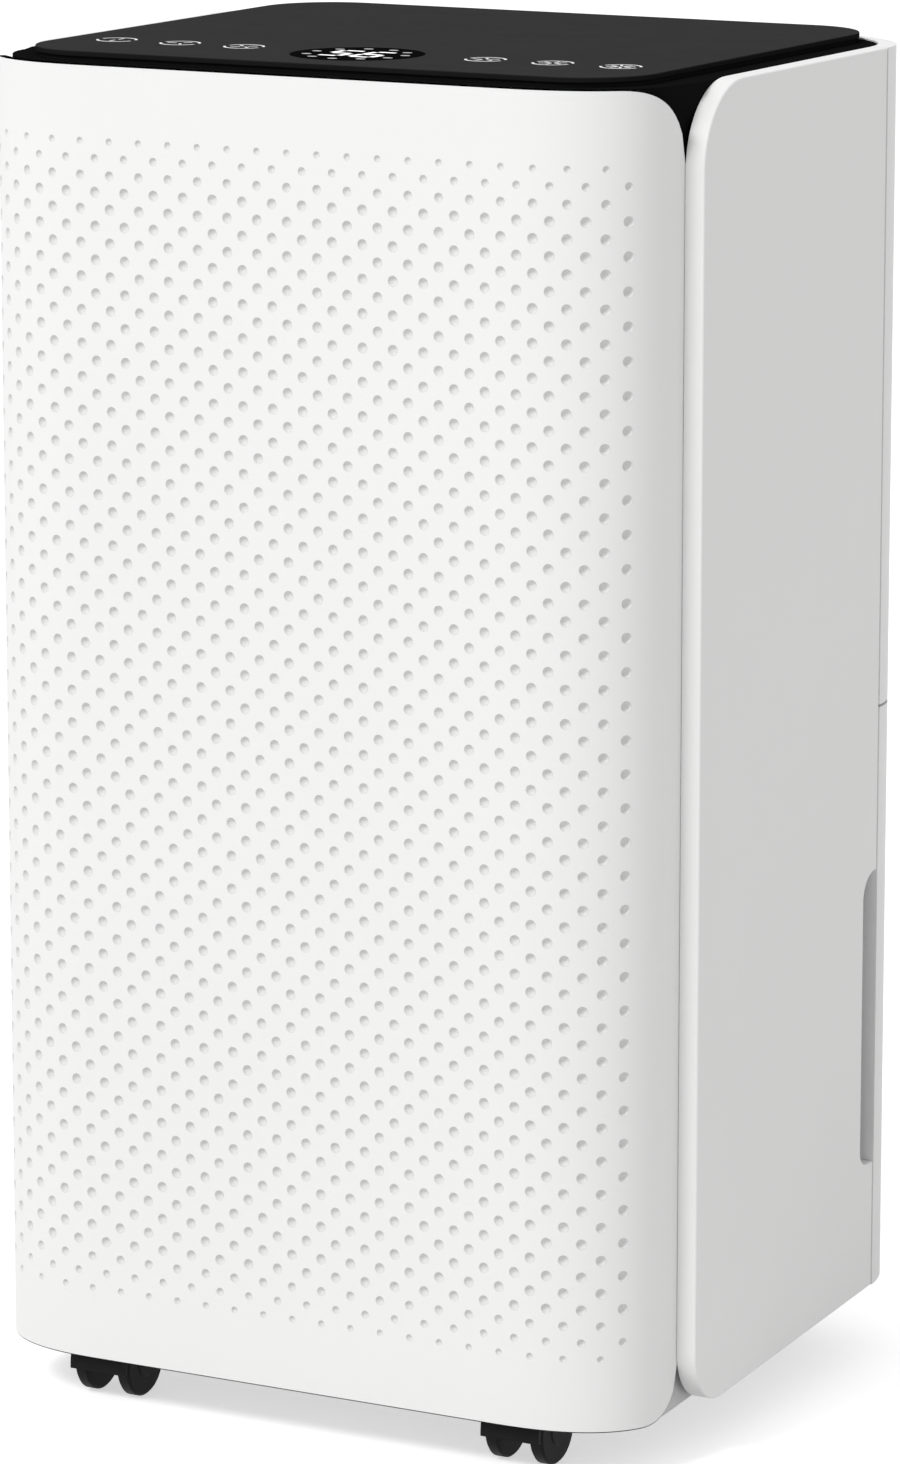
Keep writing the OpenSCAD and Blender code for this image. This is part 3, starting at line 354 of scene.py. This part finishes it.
def bowl(sheet, border, x, z, radius):
    """Round blind dot inside a ring of grid vertices: rim fillet, bowl and its middle."""
    depth = DOT_DEPTH * radius / DOT_R
    sphere = (radius ** 2 + depth ** 2) / (2 * depth)
    (_, y), normal = cover_column(x)
    across = Vector((-normal.y, normal.x, 0))
    rings = [border]
    for share in BOWL_RINGS:
        reach = share * radius
        sunk = 0.0 if share > 1 else math.sqrt(sphere ** 2 - reach ** 2) - (sphere - depth)
        tilt = 0.0 if share > 1 else reach / sphere
        ring = []
        for i in range(len(border)):
            angle = 2 * math.pi * i / len(border)
            out = across * math.cos(angle) + Vector((0, 0, math.sin(angle)))
            (px, py), local = cover_column(x + reach * math.cos(angle) * across.x)
            lean = local if share > 1 else normal * math.sqrt(1 - tilt ** 2) - out * tilt
            point = Vector((px, py, z + reach * math.sin(angle))) - normal * sunk
            ring.append(sheet.add(point, lean))
        rings.append(ring)
    middle = sheet.add(Vector((x, y, z)) - normal * depth, normal)
    for k, (outer, inner) in enumerate(zip(rings, rings[1:])):
        if k == 1:
            first_sunk = len(sheet.faces)
        for i in range(len(outer)):
            j = (i + 1) % len(outer)
            sheet.faces.append((outer[i], outer[j], inner[j], inner[i]))
    for i, vertex in enumerate(rings[-1]):
        sheet.faces.append((vertex, rings[-1][(i + 1) % len(border)], middle))
    # The faces past the rim's first ring get the bowls' painted shade
    sheet.sunk.update(range(first_sunk, len(sheet.faces)))


def cell_border(i, j):
    """Grid places round a lattice cell, anticlockwise from the middle of its right side."""
    half = SPLIT // 2
    right = [(SPLIT, half + k) for k in range(half)]
    top = [(SPLIT - k, SPLIT) for k in range(SPLIT)]
    left = [(0, SPLIT - k) for k in range(SPLIT)]
    low = [(k, 0) for k in range(SPLIT)]
    rest = [(SPLIT, k) for k in range(half)]
    return [(i + a, j + b) for a, b in right + top + left + low + rest]


def front_cover_mesh():
    columns = cover_columns()
    lattice_edge = columns[SIDE_STEPS][0][1]
    sheet = Sheet()
    grid = [[(Vector((x, y, z)), normal) for z in cover_rows(y, lattice_edge)] for (x, y), normal in columns]
    across, up = len(grid), len(grid[0])
    made = {}

    def at(i, j):
        if (i, j) not in made:
            made[i, j] = sheet.add(*grid[i][j])
        return made[i, j]

    dotted = set()
    for u in range(-LAST_COLUMN, LAST_COLUMN + 1):
        for v in range(DOT_ROWS[0], DOT_ROWS[1] + 1):
            if (u + v) % 2 == 0:
                i = SIDE_STEPS + (u + LAST_COLUMN) * SPLIT
                j = EDGE_STEPS + (DOT_ROWS[1] - v) * SPLIT
                dotted.update((i + a, j + b) for a in range(SPLIT) for b in range(SPLIT))
                bowl(sheet, [at(*place) for place in cell_border(i, j)],
                     u * HALF_PITCH, DOT_MIDDLE - v * HALF_PITCH, DOT_R * dot_share(v))
    for i in range(across - 1):
        for j in range(up - 1):
            if (i, j) not in dotted:
                sheet.faces.append((at(i, j), at(i + 1, j), at(i + 1, j + 1), at(i, j + 1)))
    # Rounded edge all round: along the top, down the right, back along the bottom and up the left
    loop = ([(i, up - 1) for i in range(across)] + [(across - 1, j) for j in range(up - 2, -1, -1)]
            + [(i, 0) for i in range(across - 2, -1, -1)] + [(0, j) for j in range(1, up - 1)])
    rings = [[at(*place) for place in loop]]
    turned = []
    for k, (i, j) in enumerate(loop):
        point, normal = grid[i][j]
        before, after = (grid[a][b][0] for a, b in (loop[k - 1], loop[(k + 1) % len(loop)]))
        turned.append((point - normal * RIM, normal, normal.cross(after - before).normalized()))
    inner_side = WALL - 2 * RIM
    for depth, angles in ((0.0, (30, 60, 90)), (inner_side, (90, 120, 150, 180))):
        for angle in map(math.radians, angles):
            ring = []
            for centre, normal, out in turned:
                lean = normal * math.cos(angle) + out * math.sin(angle)
                ring.append(sheet.add(centre - normal * depth + lean * RIM, lean))
            rings.append(ring)
    for outer, inner in zip(rings, rings[1:]):
        for i in range(len(loop)):
            j = (i + 1) % len(loop)
            sheet.faces.append((outer[j], outer[i], inner[i], inner[j]))
    # Plain inner side: one tall strip to each column, and one face at each end
    last = rings[-1]
    top, bottom = last[:across], last[across + up - 2:2 * across + up - 2][::-1]
    for i in range(across - 1):
        sheet.faces.append((top[i], top[i + 1], bottom[i + 1], bottom[i]))
    right = last[across - 1:across + up - 1]
    left = last[2 * across + up - 3:] + last[:1]
    sheet.faces.append(right)
    sheet.faces.append(left)
    return sheet.mesh("front_cover_skin")


cover = finish_piece("front_cover_skin", front_cover_mesh(), "white_shell", replaces=["front_cover"])
# The bowls' faces take a darker, duller copy of the shell's white: painted shade standing in for the shade
# inside each dot
cover.data.materials.append(plastic("dot_painted_shade", (0.735, 0.735, 0.73), 0.6, Specular_IOR_Level=0.1))


# --- Side panels -------------------------------------------------------------

panel_low, panel_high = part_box("side_panel_right")
FACE_FILLET = 2 * MM
INNER_FILLET = 0.25 * MM
SEAM = 0.2 * MM                         # the panel's skin closes the seam to a fine line
BELLY_SLOPE = 3.75                      # degrees by which the lower edge rises to the rear
NOTCH = (77 * MM, 188.5 * MM)           # ends of the finger notch in height
NOTCH_DEPTH = 10.9 * MM
NOTCH_R = (6 * MM, 10 * MM)             # its lower and its upper corner


def side_panel_outline():
    """Panel seen from the right: (y, z) points, anticlockwise, with the finger notch in its rear edge."""
    front, rear, top = panel_low.y, panel_high.y, panel_high.z
    low_z = panel_low.z + LOW_R
    rear_z = panel_low.z + math.tan(math.radians(BELLY_SLOPE)) * (rear - front - LOW_R)
    inner = rear - NOTCH_DEPTH
    return (arc((front + TOP_R, top - TOP_R), TOP_R, 90, 180, 20)
            + arc((front + LOW_R, low_z), LOW_R, 180, 270 + BELLY_SLOPE, 16)
            + [(rear, rear_z), (rear, NOTCH[0])]
            + arc((inner + NOTCH_R[0], NOTCH[0] + NOTCH_R[0]), NOTCH_R[0], 270, 180, 8)
            + arc((inner + NOTCH_R[1], NOTCH[1] - NOTCH_R[1]), NOTCH_R[1], 180, 90, 12)
            + [(rear, NOTCH[1]), (rear, top)])


for side, name in ((1, "right"), (-1, "left")):
    mesh = plate(side_panel_outline(), lambda u, v, w, s=side: (s * w, u, v),
                 (panel_low.x - SEAM, panel_high.x), (INNER_FILLET, FACE_FILLET))
    weighted(finish_piece(f"side_panel_{name}_skin", mesh, "white_shell",
                          replaces=[f"side_panel_{name}"]))


# --- Touch panel -------------------------------------------------------------

GLASS_R = 28 * MM


def rounded_outline(low, high, radius, steps=24):
    return (arc((high.x - radius, high.y - radius), radius, 0, 90, steps)
            + arc((low.x + radius, high.y - radius), radius, 90, 180, steps)
            + arc((low.x + radius, low.y + radius), radius, 180, 270, steps)
            + arc((high.x - radius, low.y + radius), radius, 270, 360, steps))


def flat(u, v, w):
    return (u, v, w)


# The touch panel is a glass on a slightly smaller base. Every face of both that doesn't face up takes one
# near-black, darker than the glass's top: painted shade on the sides
slab_side_painted_shade = plastic("slab_side_painted_shade", (0.014, 0.014, 0.0145), 0.6, blotch=0.1, rounded=EDGE,
                    Specular_IOR_Level=0.0)
for node, radius, fillets, slot in (("touch_glass", GLASS_R, (0.25 * MM, 0.45 * MM), "touch_glass"),
                                    ("touch_base", GLASS_R - 1.2 * MM, (0, 0.25 * MM), "black_plastic")):
    low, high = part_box(node)
    mesh = plate(rounded_outline(low, high, radius), flat, (low.z, high.z), fillets, segments=3)
    skin = weighted(finish_piece(f"{node}_skin", mesh, slot, replaces=[node]))
    skin.data.materials.append(slab_side_painted_shade)
    # Faces that don't face up take the second slot's darker black, painted shade
    for face in mesh.polygons:
        face.material_index = int(face.normal.z < 0.5)

# Printed signs lie on the glass as films
glass_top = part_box("touch_glass")[1].z
FILM = 0.04 * MM
KEY_PITCH = 26.5 * MM
FIRST_KEY = 48.8 * MM
KEYS = [side * (FIRST_KEY + i * KEY_PITCH) for side in (-1, 1) for i in range(3)]
KEY_Y = -60 * MM
KEY_R = 7.5 * MM
KEY_STROKE = 0.95 * MM
SPOKES = (2, 3, 4, 5, 6, 8)             # spokes of each key's sign, from left to right
SPOKE = (1.5 * MM, 5 * MM)              # inner and outer end of a spoke
DISPLAY_Y = -64.5 * MM
DISPLAY_R = 24 * MM
DIGIT_X = 6.4 * MM
DIGIT_SIZE = (8.4 * MM, 8.8 * MM)       # width and half height of a digit
DIGIT_STROKE = 2.2 * MM
DIGIT_GAP = 0.9 * MM                    # from the end of a segment to the corner of the digit
DIGIT_LEAN = 0.1
MARKS = 11                              # marks in a circle round the digits
MARKS_R = 18 * MM
MARK_SIZE = (1.9 * MM, 1.3 * MM)


def ring_outline(radius, width, start, end, steps=28):
    return arc((0, 0), radius, start, end, steps) + arc((0, 0), radius - width, end, start, steps)


def bar(a, b, width):
    """Straight stroke from a to b."""
    a, b = Vector(a), Vector(b)
    across = Vector((a.y - b.y, b.x - a.x)).normalized() * (width / 2)
    return [tuple(a - across), tuple(b - across), tuple(b + across), tuple(a + across)]


def ellipse(rx, ry, steps=64):
    return [(rx * u, ry * v) for u, v in arc((0, 0), 1, 0, 360, steps)[:-1]]


def films(name, outlines, material, slot, lift=0.0):
    """Thin flat shapes on the glass, joined into one piece."""
    bm = bmesh.new()
    for outline in outlines:
        low = [bm.verts.new((u, v, glass_top + lift)) for u, v in outline]
        high = [bm.verts.new((u, v, glass_top + lift + FILM)) for u, v in outline]
        bm.faces.new(high)
        bm.faces.new(low[::-1])
        for i in range(len(outline)):
            j = (i + 1) % len(outline)
            bm.faces.new((low[i], low[j], high[j], high[i]))
    bmesh.ops.recalc_face_normals(bm, faces=bm.faces)
    mesh = bpy.data.meshes.new(name)
    bm.to_mesh(mesh)
    bm.free()
    piece = finish_piece(name, mesh, slot)
    piece.data.materials[0] = material
    return piece


def moved(outline, x, y):
    return [(u + x, v + y) for u, v in outline]


def key_sign(number):
    """Ring of a touch key, open at both sides, round a plain sign of its own."""
    shapes = [ring_outline(KEY_R, KEY_STROKE, start, start + 150) for start in (15, 195)]
    for i in range(SPOKES[number]):
        angle = 2 * math.pi * (i + 0.5) / SPOKES[number]
        direction = Vector((math.cos(angle), math.sin(angle)))
        shapes.append(bar(direction * SPOKE[0], direction * SPOKE[1], KEY_STROKE))
    return shapes


# Segments of a digit: (start, end) on a grid one wide and two high
SEGMENTS = {"top": ((0, 2), (1, 2)), "middle": ((0, 1), (1, 1)), "bottom": ((0, 0), (1, 0)),
            "upper_left": ((0, 1), (0, 2)), "upper_right": ((1, 1), (1, 2)),
            "lower_left": ((0, 0), (0, 1)), "lower_right": ((1, 0), (1, 1))}
DIGITS = {5: ("top", "middle", "bottom", "upper_left", "lower_right"),
          6: ("top", "middle", "bottom", "upper_left", "lower_left", "lower_right")}


def digit(number, x):
    """Strokes of a slanting digit, with its middle at x."""
    width, height = DIGIT_SIZE
    shapes = []
    for name in DIGITS[number]:
        start, end = (Vector((x + width * (u - 0.5) + DIGIT_LEAN * height * (v - 1), height * (v - 1)))
                      for u, v in SEGMENTS[name])
        inset = (end - start).normalized() * DIGIT_GAP
        shapes.append(bar(start + inset, end - inset, DIGIT_STROKE))
    return shapes


# What the films are printed or lit with
print_white, white_shader = principled("print_white", Base_Color=(0.9, 0.9, 0.9, 1), Roughness=0.6)
grain(print_white, white_shader, 0.2 * MM, 0.01 * MM)
display_dark = plastic("display_dark", (0.0045, 0.0045, 0.0047), 0.7, height=0.005 * MM, blotch=0.1,
                       Specular_IOR_Level=0.0)
digits_lit = plastic("digits_lit", (0.8, 0.8, 0.8), 0.5, height=0.005 * MM, Emission_Strength=0.6,
                     Emission_Color=(1, 1, 1, 1))
marks_lit = plastic("marks_lit", (0.5, 0.5, 0.5), 0.5, height=0.005 * MM)

films("touch_key_signs",
      [moved(shape, x, KEY_Y) for number, x in enumerate(sorted(KEYS)) for shape in key_sign(number)],
      print_white, "touch_glass")
films("display_window", [moved(ellipse(DISPLAY_R, DISPLAY_R), 0, DISPLAY_Y)],
      display_dark, "touch_glass")
films("display_digits",
      [moved(shape, 0, DISPLAY_Y) for x, number in ((-DIGIT_X, 5), (DIGIT_X, 6)) for shape in digit(number, x)],
      digits_lit, "touch_glass", lift=FILM)
films("display_marks",
      [moved(ellipse(*MARK_SIZE, 12), x, y) for x, y in arc((0, DISPLAY_Y), MARKS_R, -90, 270, MARKS)[:-1]],
      marks_lit, "touch_glass", lift=FILM)


# --- CAD pieces that stay ----------------------------------------------------


def smooth_by_angle(limit):
    """Modifier tree that joins a mesh's faces and shades it smooth except at edges sharper than limit."""
    tree = bpy.data.node_groups.new("smooth_by_angle", "GeometryNodeTree")
    tree.interface.new_socket("Geometry", in_out="INPUT", socket_type="NodeSocketGeometry")
    tree.interface.new_socket("Geometry", in_out="OUTPUT", socket_type="NodeSocketGeometry")
    start, end = tree.nodes.new("NodeGroupInput"), tree.nodes.new("NodeGroupOutput")
    joined = tree.nodes.new("GeometryNodeMergeByDistance")
    joined.inputs["Distance"].default_value = 0.002 * MM
    faces, edges = (tree.nodes.new("GeometryNodeSetShadeSmooth") for _ in range(2))
    edges.domain = "EDGE"
    edges.inputs["Shade Smooth"].default_value = False
    bend = tree.nodes.new("GeometryNodeInputMeshEdgeAngle")
    sharp = tree.nodes.new("FunctionNodeCompare")
    sharp.operation = "GREATER_THAN"
    sharp.inputs[1].default_value = limit
    for a, b in ((start.outputs[0], joined.inputs[0]), (joined.outputs[0], faces.inputs[0]),
                 (faces.outputs[0], edges.inputs[0]), (edges.outputs[0], end.inputs[0]),
                 (bend.outputs["Unsigned Angle"], sharp.inputs[0]),
                 (sharp.outputs[0], edges.inputs["Selection"])):
        tree.links.new(a, b)
    return tree


smoothing = smooth_by_angle(math.radians(28))
slot_of = {part["node"]: part["material_slot"] for part in frame["record"]["subparts"]}
for name, node in nodes.items():
    material = MATERIALS[slot_of[name]]
    if node.material_slots:
        for material_slot in node.material_slots:
            material_slot.material = material
    else:
        node.data.materials.append(material)
    modifier = node.modifiers.new("smooth", "NODES")
    modifier.node_group = smoothing


# --- Tank shell --------------------------------------------------------------

shell_low, shell_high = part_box("tank_shell")
REAR_REACH = (53.6 * MM, shell_high.y - shell_low.y)    # reach of the shell's rear corner in X and Y
REAR_STEPS = 16                         # the corner has as many facets as the model's
SKIN = 0.05 * MM                        # margin that keeps the cut off the shell's own faces


def shell_outline():
    """Plan of the shell's outside, anticlockwise from the front of its right corner."""
    flat_x = shell_high.x - REAR_REACH[0]
    corner = [(flat_x + (REAR_REACH[0] + SKIN) * u, shell_low.y + (REAR_REACH[1] + SKIN) * v)
              for u, v in arc((0, 0), 1, 0, 90, REAR_STEPS)]
    right = [(shell_high.x + SKIN, shell_low.y - SKIN)] + corner
    return right + [(-x, y) for x, y in reversed(right)]


def trimmed_shell():
    """The tank shell with the ends of its inner ledges cut off flush with its rounded outside."""
    bm = bmesh.new()
    bm.from_mesh(nodes["tank_shell"].data)
    bmesh.ops.remove_doubles(bm, verts=bm.verts, dist=0.002 * MM)
    mesh = bpy.data.meshes.new("tank_shell_skin")
    bm.to_mesh(mesh)
    bm.free()
    hull_mesh = plate(shell_outline(), flat, (shell_low.z - SKIN, shell_high.z + SKIN), (0, 0))
    whole, hull = (bpy.data.objects.new(name, data) for name, data in (("whole", mesh), ("hull", hull_mesh)))
    for each in (whole, hull):
        bpy.context.scene.collection.objects.link(each)
    cut = whole.modifiers.new("cut", "BOOLEAN")
    cut.operation, cut.solver, cut.object = "INTERSECT", "EXACT", hull
    evaluated = whole.evaluated_get(bpy.context.evaluated_depsgraph_get())
    trimmed = bpy.data.meshes.new_from_object(evaluated)
    trimmed.materials.clear()
    for each in (whole, hull):
        bpy.data.objects.remove(each)
    return trimmed


shell = finish_piece("tank_shell_skin", trimmed_shell(), "white_shell", body="tank",
                     replaces=["tank_shell"])
shell.modifiers.new("smooth", "NODES").node_group = smoothing


# --- Studio ------------------------------------------------------------------


def camera():
    """Camera at the photograph's distance and viewing angle."""
    data = bpy.data.cameras.new("camera")
    data.lens, data.sensor_width = 159.4, 36
    data.clip_start, data.clip_end = 0.1, 30
    view = bpy.data.objects.new("camera", data)
    view.location = (1.1179, -2.0565, 0.7189)
    view.rotation_euler = [math.radians(a) for a in (78.430, 0, 28.483)]
    bpy.context.scene.collection.objects.link(view)
    bpy.context.scene.camera = view


def seen_directly(tree):
    """1 for rays from the camera, in reflections and through glass, and 0 for the light on the object."""
    path = tree.nodes.new("ShaderNodeLightPath")
    share = path.outputs["Is Camera Ray"]
    for ray in ("Is Glossy Ray", "Is Transmission Ray"):
        either = tree.nodes.new("ShaderNodeMath")
        either.operation = "MAXIMUM"
        tree.links.new(share, either.inputs[0])
        tree.links.new(path.outputs[ray], either.inputs[1])
        share = either.outputs[0]
    return share


def floor(glow):
    """Pale floor that shows nearly white with the object's shadow, and lights it as bare paint does."""
    bm = bmesh.new()
    bmesh.ops.create_grid(bm, x_segments=1, y_segments=1, size=12)
    mesh = bpy.data.meshes.new("floor")
    bm.to_mesh(mesh)
    bm.free()
    ground = bpy.data.objects.new("floor", mesh)
    bpy.context.scene.collection.objects.link(ground)
    material, paint = principled("floor", Base_Color=(0.75, 0.75, 0.75, 1), Roughness=0.9,
                                 Specular_IOR_Level=0.0)
    tree = material.node_tree
    light, both, mix = (tree.nodes.new(f"ShaderNode{kind}")
                        for kind in ("Emission", "AddShader", "MixShader"))
    surface = tree.nodes["Material Output"].inputs["Surface"]
    light.inputs["Strength"].default_value = glow
    for a, b in ((paint.outputs[0], both.inputs[0]), (light.outputs[0], both.inputs[1]),
                 (seen_directly(tree), mix.inputs[0]), (paint.outputs[0], mix.inputs[1]),
                 (both.outputs[0], mix.inputs[2]), (mix.outputs[0], surface)):
        tree.links.new(a, b)
    mesh.materials.append(material)


def world(strength):
    """Even white surroundings of that strength, that show as plain white."""
    studio = bpy.data.worlds.new("studio")
    studio.use_nodes = True
    tree = studio.node_tree
    lit, mix = tree.nodes["Background"], tree.nodes.new("ShaderNodeMixShader")
    seen = tree.nodes.new("ShaderNodeBackground")
    surface = tree.nodes["World Output"].inputs["Surface"]
    for background, level in ((lit, strength), (seen, 1.0)):
        background.inputs["Color"].default_value = (1, 1, 1, 1)
        background.inputs["Strength"].default_value = level
    for a, b in ((seen_directly(tree), mix.inputs[0]), (lit.outputs[0], mix.inputs[1]),
                 (seen.outputs[0], mix.inputs[2]), (mix.outputs[0], surface)):
        tree.links.new(a, b)
    bpy.context.scene.world = studio


def lamp(name, place, target, size, power):
    """Round soft lamp of that diameter in metres and power in watts, turned to its target."""
    data = bpy.data.lights.new(name, "AREA")
    data.shape, data.size, data.energy = "DISK", size, power
    light = bpy.data.objects.new(name, data)
    light.location = place
    light.rotation_euler = (Vector(target) - Vector(place)).to_track_quat("-Z", "Y").to_euler()
    bpy.context.scene.collection.objects.link(light)


camera()
floor(0.58)
world(0.69)
middle = (cad_box[0] + cad_box[1]) / 2
lamp("key", (-1.5, -4.4, 4.9), middle, 2.0, 204)
bpy.context.scene.view_settings.view_transform = "Standard"
